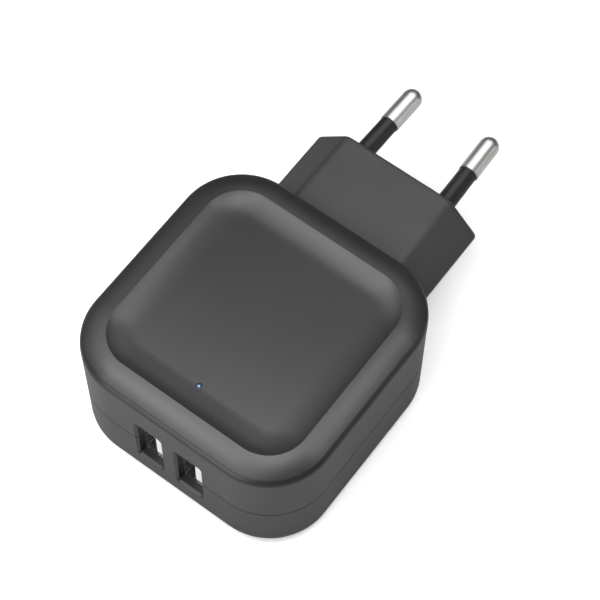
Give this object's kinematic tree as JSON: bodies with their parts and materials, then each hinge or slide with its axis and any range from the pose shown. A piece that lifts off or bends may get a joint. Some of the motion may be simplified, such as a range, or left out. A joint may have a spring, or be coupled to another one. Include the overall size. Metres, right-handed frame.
{
  "type": "usb wall charger",
  "caption": "Rounded-square wall charger with a dished face, a fixed flat European plug with round sleeved pins, upright USB-A ports in the opposite side and a small light in the dish.",
  "frame": {"origin": "centre of the flat underside of the housing, where the charger rests when it lies on its back", "axes": "+Z is the normal of the dished face, +Y runs along the plug towards the pin tips, the USB ports open towards -Y"},
  "size_m": [0.05, 0.0876, 0.0289],
  "materials": {
    "shell_plastic": "fine-textured black polycarbonate",
    "plug_plastic": "satin black plastic",
    "sleeve_plastic": "satin black insulation",
    "nickel": "satin nickel plating",
    "port_steel": "plain sheet steel",
    "tongue_plastic": "plain white plastic",
    "gold": "gold-plated contact",
    "bronze": "plain phosphor bronze",
    "clear_plastic": "polished clear light pipe",
    "led_body": "polished LED body",
    "board": "satin solder mask on glass-fibre board",
    "can_sleeve": "shrunk plastic sleeve",
    "polymer_can": "drawn aluminium can",
    "ceramic_blue": "dipped blue resin",
    "ceramic_green": "dipped green resin",
    "epoxy": "moulded black epoxy",
    "resistor_coat": "fired resistor coating",
    "ferrite": "sintered ferrite",
    "copper": "enamelled copper wire",
    "bobbin_plastic": "plain black bobbin plastic",
    "tape": "yellow insulation tape",
    "chip_ceramic": "sintered chip body"
  },
  "bodies": {
    "root": {"front_shell": "shell_plastic", "rear_shell": "shell_plastic", "plug_body": "plug_plastic", "plug_pin_left": "nickel", "plug_pin_right": "nickel", "pin_sleeve_left": "sleeve_plastic", "pin_sleeve_right": "sleeve_plastic", "mains_contact_left": "bronze", "mains_contact_right": "bronze", "light_pipe": "clear_plastic", "status_led": "led_body", "main_board": "board", "usb_shell_left": "port_steel", "usb_shell_right": "port_steel", "usb_tongue_left": "tongue_plastic", "usb_tongue_right": "tongue_plastic", "usb_contacts_left": "gold", "usb_contacts_right": "gold", "fusible_resistor": "resistor_coat", "varistor": "ceramic_green", "bridge_rectifier": "epoxy", "bulk_capacitor_1": "can_sleeve", "bulk_capacitor_2": "can_sleeve", "choke_core": "ferrite", "choke_winding": "copper", "transformer_core": "ferrite", "transformer_bobbin": "bobbin_plastic", "transformer_winding": "tape", "power_controller": "epoxy", "y_capacitor": "ceramic_blue", "optocoupler": "epoxy", "output_capacitor_1": "polymer_can", "output_capacitor_2": "polymer_can", "output_rectifier": "epoxy", "usb_charge_controller": "epoxy", "chip_resistors": "epoxy", "chip_capacitors": "chip_ceramic"}
  },
  "joints": []
}
